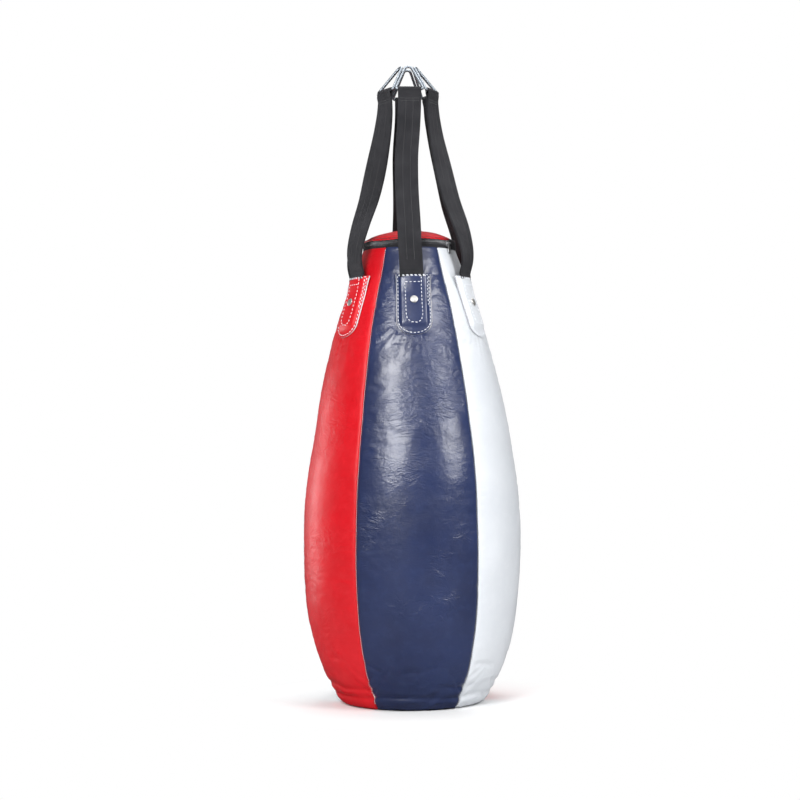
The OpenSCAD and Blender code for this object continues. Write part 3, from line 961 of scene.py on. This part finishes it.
def strap_loop():
    """Middle of the tape from the outer low end over the bar to the inner low end."""
    zs = list(np.linspace(STRAP_LOW, PIVOT_Z, 22))
    zs += list(np.linspace(PIVOT_Z, BAR_Z - 0.006, 96))[1:]
    spine = [Vector((spine_radius(z), z)) for z in zs]
    outer, inner = [], []
    for i, (point, z) in enumerate(zip(spine, zs)):
        normal = outward_normal(spine[max(i - 1, 0)], spine[min(i + 1, len(spine) - 1)])
        opening = smoothstep(BAR_Z - 0.020, BAR_Z - 0.002, z)
        spread = PLY / 2 + 0.0001 + (WRAP - PLY / 2) * opening
        outer.append(point + normal * spread)
        inner.append(point - normal * spread)
    centre = Vector((BAR_R, BAR_Z))
    a_out, a_in = (math.atan2(end.y - centre.y, end.x - centre.x)
                   for end in (outer[-1], inner[-1]))
    if a_in < a_out:
        a_in += 2 * math.pi
    arc = []
    for q in range(1, 20):
        a = a_out + (a_in - a_out) * q / 20
        radius = WRAP if 3 <= q <= 17 else WRAP + 0.0004
        arc.append(centre + Vector((math.cos(a), math.sin(a))) * radius)
    return outer + arc + list(reversed(inner)), len(outer)


LOOP, PLY_POINTS = strap_loop()
OUTER_PLY = LOOP[:PLY_POINTS]
INNER_PLY = list(reversed(LOOP[-PLY_POINTS:]))   # both run upwards


def place(az0, radius, across, z):
    """Strap point in space; near the tab its width bends round the body."""
    curl = 1 - smoothstep(0.868, 0.925, z)
    if curl > 0:
        rho = max(radius, 0.06)
        radius -= curl * (rho - math.sqrt(max(rho * rho - across * across, 1e-9)))
    a = math.radians(az0)
    return Vector((across * math.cos(a) + radius * math.sin(a),
                   across * math.sin(a) - radius * math.cos(a), z))


def strap_sway(k, x, z):
    """Twist and wander of real webbing: across and outward places of width position x."""
    h = (z - PIVOT_Z) / (BAR_Z - PIVOT_Z)
    free = clamp01((h - 0.02) / 0.18) * clamp01((0.93 - h) / 0.2)
    arc = math.sin(math.pi * clamp01((h - 0.02) / 0.96)) ** 1.2
    ripple = (0.03 * math.sin(2.4 * h * math.pi + k * 1.9)
              + 0.02 * math.sin(5.3 * h * math.pi + k))
    twist = -STRAP_TWIST[k] * arc + free * ripple
    wander = free * 0.0012 * math.sin(3.1 * h * math.pi + k * 2.3)
    # the front and back straps hang a little aside
    upper = smoothstep(0.60, 0.97, h)
    if k == 0:
        wander -= 0.0035 + 0.0048 * smoothstep(-0.03, 0.20, h) - 0.0083 * upper
    if k == 3:
        wander += 0.0050 * smoothstep(0.0, 0.25, h) * (1 - upper)
    return x * math.cos(twist) + wander, -x * math.sin(twist)


def strap_section():
    """Closed cross-section with rounded edges: x, share of half the ply thickness."""
    edge = [(STRAP_HALF - 0.0001, 0.0), (STRAP_HALF - 0.00025, 0.6), (STRAP_HALF - 0.0009, 0.96)]
    flat = np.linspace(-STRAP_HALF + 0.0025, STRAP_HALF - 0.0025, 19)
    section = [(-x, y) for x, y in edge] + [(x, 1.0) for x in flat] + edge[::-1]
    return section + [(x, -y) for x, y in reversed(section[1:-1])]


def strap(k, side):
    az0 = SIDE_STEP * k
    section = strap_section()
    verts, uvs = [], []
    run = 0.0
    count = len(LOOP)
    for i, q in enumerate(LOOP):
        normal = outward_normal(LOOP[max(i - 1, 0)], LOOP[min(i + 1, count - 1)])
        if i:
            run += (q - LOOP[i - 1]).length
        # the loop's normal turns over the bar, so the inner ply takes the twist reversed
        sign = 1.0 if i < PLY_POINTS else (-1.0 if i >= count - PLY_POINTS else 0.0)
        for x, y in section:
            ribs = 0.00013 * math.cos(2 * math.pi * x / 0.0050) * y
            thinning = -0.0001 * (abs(x) / STRAP_HALF) ** 6 * y
            across, outward = strap_sway(k, x, q.y)
            p = q + normal * (y * PLY / 2 + ribs + thinning) + normal * (outward * sign)
            # the curl is set by the loop's height, the point by its own
            bent = place(az0, p.x, across, q.y)
            bent.z = p.y
            verts.append(bent)
            uvs.append((x * 1000, run * 1000))
    piece = make("webbing_" + side, verts, tube_faces(len(section), count), uvs, [WEB])
    fix_normals(piece)
    register(piece, replaced=["strap_" + side, "strap_end_" + side])
    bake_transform(piece)
    strap_thread(k, side)


def strap_face(k, x, z, outer):
    """Point and normal on the strap's outer or inner face."""
    ply = OUTER_PLY if outer else INNER_PLY
    zs = [point.y for point in ply]
    i = min(max(int(np.searchsorted(zs, z)), 1), len(ply) - 2)
    share = clamp01((z - zs[i - 1]) / max(zs[i] - zs[i - 1], 1e-9))
    q = ply[i - 1].lerp(ply[i], share)
    outwards = outward_normal(ply[i - 1], ply[i + 1])
    normal = outwards if outer else -outwards
    across, shift = strap_sway(k, x, q.y)
    p = q + normal * (PLY / 2) + outwards * shift
    point = place(SIDE_STEP * k, p.x, across, q.y)
    point.z = p.y
    a = math.radians(SIDE_STEP * k)
    return point, Vector((normal.x * math.sin(a), -normal.x * math.cos(a),
                          normal.y)).normalized()


def strap_thread(k, side):
    """Two rows along each face and two across it under the ring."""
    low, high, climb = PIVOT_Z + 0.022, BAR_Z - 0.020, 0.97
    half = 0.020

    def row_along(x, outer):
        def at(s):
            return strap_face(k, x, min(max(low + s * climb, low), high), outer)
        return at, (high - low) / climb

    def row_across(z, outer):
        return lambda s: strap_face(k, -half + s, z, outer), 2 * half

    runs = []
    for outer in (True, False):
        runs += [row_along(x, outer) for x in (-0.0075, 0.0075)]
        runs += [row_across(BAR_Z - drop, outer) for drop in (0.0195, 0.0245)]
    stitch_mesh("webbing_thread_" + side, runs, radius=0.00042, length=0.0030, pitch=0.0042,
                mat=THREAD_DARK, lift=0.00005, body="strap_" + side, sides=4)


for k, side in enumerate(SIDES):
    strap(k, side)


# ------------------------------------------------------------------ zip
_teeth = node_points("zip_teeth_lower")
_teeth_r = np.hypot(_teeth[:, 0], _teeth[:, 1])
ZIP_R = float((_teeth_r.max() + _teeth_r.min()) / 2)
ZIP_Z = (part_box("zip_teeth_lower")[1].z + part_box("zip_teeth_upper")[0].z) / 2
TAPE_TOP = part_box("zip_tape_upper")[1].z
FOLD_X, _, FOLD_Z = joints["lid_fold"]["pos_m"]
# the zip stops short of the fold on the right
ZIP_AZ1 = 90 - math.degrees(math.acos(min(1, FOLD_X / ZIP_R))) - 1.0
ZIP_AZ0 = -180 - ZIP_AZ1


def zip_wobble(az):
    """The zip line rises and dips a little round the rim, but not at its ends."""
    a = math.radians(az)
    rise = 0.0012 * math.sin(3 * a + 0.7) + 0.0007 * math.sin(7 * a + 2.0)
    return rise * clamp01(min(ZIP_AZ1 - az, az - ZIP_AZ0) / 25)


def zip_band(name, node, body, z_range, outer, inner, bulge,
             az_range=(ZIP_AZ0, ZIP_AZ1), count=220):
    """Ring sector; outer and inner are its faces' distances from ZIP_R."""
    (z0, z1), (az0, az1) = z_range, az_range
    profile = []
    for face, shares in ((outer, np.linspace(0, 1, 9)), (inner, np.linspace(1, 0, 9))):
        profile += [(face + bulge * math.sin(math.pi * q), z0 + (z1 - z0) * q)
                    for q in shares]
    run = run_lengths(profile)
    verts, uvs = [], []
    for i in range(count):
        az = az0 + (az1 - az0) * i / (count - 1)
        for (dr, z), s in zip(profile, run):
            ripple = 0.0002 * math.sin(math.radians(az) * 60 + z * 900)
            verts.append(polar(az, ZIP_R + dr + ripple, z + zip_wobble(az)))
            uvs.append((s * 1000, math.radians(az) * ZIP_R * 1000))
    around = len(profile)
    faces = grid_faces(around, count, wrap=True)
    faces.append(tuple(range(around)))
    faces.append(tuple((count - 1) * around + j for j in reversed(range(around))))
    piece = make(name, verts, faces, uvs, [TAPE])
    fix_normals(piece)
    register(piece, body, [node])


def run_lengths(profile):
    """Distance along a profile at each of its points."""
    run = [0.0]
    for a, b in zip(profile, profile[1:]):
        run.append(run[-1] + math.hypot(b[0] - a[0], b[1] - a[1]))
    return run


TAPE_SHAPE = dict(outer=0.0006, inner=-0.0004, bulge=0.0004)
TAPE_GAP = 0.0016              # each tape's edge from the middle of the teeth
zip_band("zip_tape_body_side", "zip_tape_lower", "bag",
         z_range=(BODY_H - 0.010, ZIP_Z - TAPE_GAP), **TAPE_SHAPE)
zip_band("zip_tape_lid_side", "zip_tape_upper", "lid",
         z_range=(ZIP_Z + TAPE_GAP, TAPE_TOP + 0.0012), **TAPE_SHAPE)

TOOTH_PITCH = 0.0030
# height from the zip's middle line outwards, half width along the chain, half depth
TOOTH_RINGS = [
    (-0.0013, 0.00054, 0.0013), (-0.0009, 0.00067, 0.0016), (0.0002, 0.00068, 0.0018),
    (0.0009, 0.00058, 0.0018), (0.0020, 0.00064, 0.0018), (0.0042, 0.00062, 0.0017),
    (0.0049, 0.00042, 0.0012)]
# shares of the half width and half depth
TOOTH_CORNERS = ((-1, -0.6), (-0.6, -1), (0.6, -1), (1, -0.6),
                 (1, 0.6), (0.6, 1), (-0.6, 1), (-1, 0.6))


def teeth(name, node, body, up):
    """Moulded teeth on one tape; the upper ones sit half a pitch along."""
    verts, faces = [], []
    count = int(math.radians(ZIP_AZ1 - ZIP_AZ0) * ZIP_R / TOOTH_PITCH)
    sign = 1 if up else -1
    for k in range(count):
        az = ZIP_AZ0 + (ZIP_AZ1 - ZIP_AZ0) * (k + (0.5 if up else 0.0) + 0.25) / count
        faces += tube_faces(len(TOOTH_CORNERS), len(TOOTH_RINGS), base=len(verts))
        for height, width, depth in TOOTH_RINGS:
            z = ZIP_Z + zip_wobble(az) + sign * height
            verts += [polar(az + math.degrees(sx * width / ZIP_R), ZIP_R + sy * depth, z)
                      for sx, sy in TOOTH_CORNERS]
    piece = make(name, verts, faces, None, [TEETH])
    fix_normals(piece)
    register(piece, body, [node])


teeth("zip_teeth_body_side", "zip_teeth_lower", "bag", up=False)
teeth("zip_teeth_lid_side", "zip_teeth_upper", "lid", up=True)


# ------------------------------------------------------------------ lid
_low, _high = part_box("lid")
LID_Z = _low.z
CROWN = _high.z - LID_Z
_points = node_points("lid")
LID_R = float(np.hypot(_points[:, 0], _points[:, 1]).max())
DOME_R = (LID_R ** 2 + CROWN ** 2) / (2 * CROWN)
LID_COLUMNS = 216
LID_EDGE = 0.996               # last row before the hem, as a share of LID_R
LID_HEM = ((1.000, -0.0006), (1.003, -0.0018), (0.999, -0.0032), (0.990, -0.0036))


def lid_height(r, az):
    """Height over LID_Z: a shallow dome with lumps, radial puckers and a hem groove."""
    h = math.sqrt(max(DOME_R * DOME_R - r * r, 0)) - DOME_R + CROWN
    x, y, _ = polar(az, r, 0)
    q = r / LID_R
    h += 0.0014 * fbm(x * 22 + 1, y * 22, 0.4, octaves=2) * (1 - q ** 4)
    rim = smoothstep(0.35, 0.95, q) * (1 - smoothstep(0.965, 1.0, q))
    h += 0.0009 * (ridge(math.radians(az) * 4.6, q * 3.0, 5.1) - 0.6) * rim
    return h - 0.0010 * bell(q - 0.93, width=0.02)


def lid():
    """One dished piece of leather, covering the lid and its hinge flap."""
    azimuths = [360 * i / LID_COLUMNS for i in range(LID_COLUMNS)]
    shares = [0.012] + list(np.linspace(0.05, 0.90, 30))
    shares += [0.915, 0.93, 0.945, 0.96, 0.975, 0.988, LID_EDGE]
    # radius, radius its height is read at, drop; the last rows roll over the zip tape
    rows = [(q * LID_R, q * LID_R, 0) for q in shares]
    rows += [(q * LID_R, LID_EDGE * LID_R, drop) for q, drop in LID_HEM]
    verts = []
    for r, height_r, drop in rows:
        for az in azimuths:
            wobble = zip_wobble(signed_turn(az)) if r > 0.9 * LID_R else 0
            verts.append(polar(az, r, LID_Z + lid_height(height_r, az) + drop + wobble))
    uvs = [(x * 1000, y * 1000) for x, y, _ in verts]
    faces = grid_faces(LID_COLUMNS, len(rows), wrap=True) + [tuple(range(LID_COLUMNS))]
    piece = make("lid_leather", verts, faces, uvs, [HIDE["red"]])
    fix_normals(piece)
    piece.data.update()
    # outward faces up
    if piece.data.polygons[len(piece.data.polygons) // 2].normal.z < 0:
        piece.data.flip_normals()
    solid(piece, 0.0020)
    register(piece, replaced=["lid", "lid_hinge_flap"])
    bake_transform(piece)


lid()

# band closing the gap in the zip at the fold
zip_band("hinge_gusset_leather", "hinge_gusset", "bag", z_range=(BODY_H - 0.008, LID_Z + 0.001),
         outer=0.0010, inner=-0.0010, bulge=0.0012,
         az_range=(ZIP_AZ1 + 1.2, 180 - ZIP_AZ1 - 1.2), count=70)


def lid_thread():
    """Thread round the lid's hem, stopping short of the zip's ends."""
    radius, end_gap = 0.945 * LID_R, 6

    def at(s):
        az = ZIP_AZ0 + end_gap + math.degrees(s / radius)
        z = LID_Z + lid_height(radius, az % 360) + zip_wobble(az)
        normal = (Vector(polar(az, 0.45, 0)) + Vector((0, 0, 0.9))).normalized()
        return Vector(polar(az, radius, z)), normal
    red = thread("thread_red", base=(0.62, 0.05, 0.06), dark=(0.40, 0.02, 0.03))
    total = math.radians(ZIP_AZ1 - ZIP_AZ0 - 2 * end_gap) * radius
    stitch_mesh("lid_thread", [(at, total)], radius=0.0005, length=0.0034, pitch=0.0046,
                mat=red, lift=0.0002, body="lid", sides=5)


lid_thread()


# ------------------------------------------------------------------ base, lining and filling
def revolve(name, profile, columns, mat, node, relief):
    """Turns a profile of (radius, z). relief(r, az, z) gives changes of radius and z."""
    verts, uvs = [], []
    for (r, z), s in zip(profile, run_lengths(profile)):
        for i in range(columns):
            az = 360 * i / columns
            dr, dz = relief(r, az, z)
            verts.append(polar(az, r + dr, z + dz))
            uvs.append((math.radians(az) * 100, s * 1000))
    piece = make(name, verts, tube_faces(columns, len(profile)), uvs, [mat])
    fix_normals(piece)
    register(piece, "bag", [node])


def base_disc():
    radius = BASE_R - 0.0035
    profile = [(0.004, 0.0022)]
    profile += [(radius * q, 0.0022 - 0.0010 * math.sin(math.pi * q ** 2))
                for q in np.linspace(0.08, 0.93, 16)]
    profile += [(radius * 0.96, 0.0010), (radius * 0.985, 0.0016),
                (radius, 0.0030), (radius * 0.99, 0.0044)]
    profile += [(radius * q, 0.0050) for q in np.linspace(0.93, 0.03, 14)]

    def relief(r, az, z):
        a = math.radians(az)
        lump = fbm(r * 30 * math.cos(a), r * 30 * math.sin(a), 1.0, octaves=3)
        return 0, max(-0.0006, 0.0005 * lump)
    revolve("base_leather", profile, 180, HIDE["blue"], "base_disc", relief)

    thread_r = radius * 0.955

    def at(s):
        az = math.degrees(s / thread_r)
        return Vector(polar(az, thread_r, 0.0011)), Vector((0, 0, -1))
    stitch_mesh("base_thread", [(at, 2 * math.pi * thread_r)], radius=0.0006, length=0.0042,
                pitch=0.0060, mat=THREAD_SEAM, lift=0.0001, body="bag",
                sides=5)


def lining():
    floor_z, thickness = 0.0052, 0.0010
    zs = [floor_z] + list(np.linspace(0.012, BODY_H - 0.004, 46))
    outer = [(body_radius(max(z, 0.004)) - 0.0082, z) for z in zs]
    inner = [(r - thickness, z) for r, z in reversed(outer)]
    profile = [(0.004, floor_z)] + outer + inner[:-1]
    profile += [(outer[0][0] - thickness, 0.0064), (0.004, 0.0064)]

    def relief(r, az, z):
        ripple = math.sin(math.radians(az) * 17 + z * 30)
        return 0.0005 * ripple * smoothstep(0.02, 0.1, z), 0
    revolve("lining_cloth", profile, 120, LINING, "lining", relief)


def filling():
    low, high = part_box("filling")
    start, shoulder = low.z + 0.002, BODY_H - 0.014
    zs = list(np.linspace(start, BODY_H - 0.03, 30))
    zs += list(np.linspace(BODY_H - 0.026, shoulder, 6))
    profile = [(0.004, start)] + [(body_radius(z) - 0.0100, z) for z in zs]
    # rounded top
    top_r, rise = body_radius(shoulder) - 0.0105, high.z - 0.004 - shoulder
    profile += [(top_r * math.cos(a), shoulder + rise * math.sin(a))
                for a in np.linspace(0.05, math.pi / 2 - 0.03, 34)]

    def relief(r, az, z):
        if z < BODY_H - 0.05:
            return 0, 0
        x, y = r * math.cos(math.radians(az)), r * math.sin(math.radians(az))
        lumps = fbm(x * 26, y * 26, z * 20, octaves=3)
        edges = ridge(x * 55, y * 55, z * 40)
        fade = smoothstep(BODY_H - 0.05, BODY_H - 0.012, z)
        return (-0.0012 * fade + 0.0008 * lumps * fade,
                fade * (0.0045 * lumps + 0.0022 * (edges - 0.6) - 0.004))
    revolve("rag_filling", profile, 150, RAGS, "filling", relief)


base_disc()
lining()
filling()


# ------------------------------------------------------------------ CAD metal pieces that stay
def paint(name, mat):
    mesh = cad_nodes[name].data
    mesh.materials.clear()
    mesh.materials.append(mat)
    for polygon in mesh.polygons:
        polygon.material_index = 0


for names, mat in ((["ring_" + side for side in SIDES], RING),
                   (["rivets", "rivet_burrs"], RIVET),
                   (["zip_slider", "zip_pull", "zip_stops"], ZIP_METAL)):
    for name in names:
        paint(name, mat)


# ------------------------------------------------------------------ stage, light and camera
def floor():
    piece = make("floor", [(-12, -8, 0), (12, -8, 0), (12, 14, 0), (-12, 14, 0)],
                 [(0, 1, 2, 3)], None, [])
    net = Material("pale_floor")
    cloud = net.noise(net.coords(), scale=3, roughness=0.5)
    net.surface({
        "Base Color": net.mix(net.remap(cloud, (0.3, 0.7)),
                              (0.93, 0.93, 0.93), (0.95, 0.95, 0.95)),
        "Roughness": 0.75, "Specular IOR Level": 0.2})
    # to the camera it fades into the white backdrop away from the bag
    position = net.add("ShaderNodeNewGeometry").outputs["Position"]
    away = net.add("ShaderNodeVectorMath", {0: position}, operation="LENGTH")
    rays = net.add("ShaderNodeLightPath").outputs
    fade = net.math("MULTIPLY", net.remap(away.outputs["Value"], (0.14, 0.38)),
                    rays["Is Camera Ray"])
    white = net.add("ShaderNodeEmission", {0: (1, 1, 1)})
    seen = net.add("ShaderNodeMixShader",
                   {0: fade, 1: net.bsdf.outputs[0], 2: white.outputs[0]})
    # reflections see a dark floor
    dark = net.add("ShaderNodeBsdfDiffuse", {0: (0.10, 0.10, 0.10)})
    mixed = net.add("ShaderNodeMixShader",
                    {0: rays["Is Glossy Ray"], 1: seen.outputs[0], 2: dark.outputs[0]})
    net.link(mixed.outputs[0], net.output.inputs[0])
    piece.data.materials.append(net.material)
    piece.location.z = -0.0006


def studio_world():
    """White to the camera; dim light for the bag, stronger from behind and above."""
    world = bpy.data.worlds.new("studio")
    scene.world = world
    world.use_nodes = True
    net = NodeNet(world.node_tree)
    output = net.add("ShaderNodeOutputWorld")
    backdrop = net.add("ShaderNodeBackground", {0: (1, 1, 1), 1: 1.0})
    direction = net.separate(net.coords("Generated"))
    behind = net.remap(direction[1], (-0.5, 0.6), to=(0.85, 1.0))
    above = net.remap(direction[2], (-0.3, 0.5), to=(0.75, 1.0))
    reflected = net.remap(direction[1], (0.15, 0.85), to=(0.05, 0.28))
    amount = net.add("ShaderNodeMix", data_type="FLOAT")
    glossy = net.add("ShaderNodeLightPath").outputs["Is Glossy Ray"]
    net.feed(amount, {0: glossy, 2: 0.30, 3: reflected})
    strength = net.math("MULTIPLY", net.math("MULTIPLY", behind, above), amount.outputs[0])
    ambient = net.add("ShaderNodeBackground", {0: (0.97, 0.985, 1.0), 1: strength})
    camera_ray = net.add("ShaderNodeLightPath").outputs["Is Camera Ray"]
    mixed = net.add("ShaderNodeMixShader",
                    {0: camera_ray, 1: ambient.outputs[0], 2: backdrop.outputs[0]})
    net.link(mixed.outputs[0], output.inputs[0])


def area(name, location, target_z, width, height, power):
    """Area light aimed at the bag's axis."""
    light = bpy.data.lights.new(name, "AREA")
    light.shape = "RECTANGLE"
    light.size, light.size_y = width, height
    light.energy = power
    light.color = (1, 1, 1)
    lamp = bpy.data.objects.new(name, light)
    scene.collection.objects.link(lamp)
    lamp.location = location
    aim = Vector((0, 0, target_z)) - Vector(location)
    lamp.rotation_euler = aim.to_track_quat("-Z", "Y").to_euler()


def camera(az, distance, z, roll):
    data = bpy.data.cameras.new("camera")
    cam = bpy.data.objects.new("camera", data)
    scene.collection.objects.link(cam)
    cam.location = polar(az, distance, z)
    aim = Vector(polar(az, -1, 0)).to_track_quat("-Z", "Y")
    cam.rotation_mode = "QUATERNION"
    cam.rotation_quaternion = aim @ Quaternion((0, 0, 1), math.radians(-roll))
    data.sensor_width = 36
    data.lens = 76.23
    data.shift_x = -0.01325
    data.shift_y = 0.0525
    data.clip_end = 100
    scene.camera = cam


scene = bpy.context.scene
floor()
scene.view_settings.view_transform = "Standard"
scene.view_settings.look = "None"
studio_world()
area("key_left", polar(-25, 3.1, 2.1), target_z=0.62, width=1.20, height=1.70, power=96)
area("key_right", polar(44, 3.1, 2.25), target_z=0.62, width=0.95, height=2.10, power=74)
area("rim_left", polar(-124, 2.3, 0.55), target_z=0.45, width=0.55, height=1.1, power=14)
area("top_softbox", (0.2, 0.5, 3.1), target_z=0.9, width=1.6, height=1.6, power=50)
camera(az=-3.6, distance=3.54, z=0.539, roll=0.45)
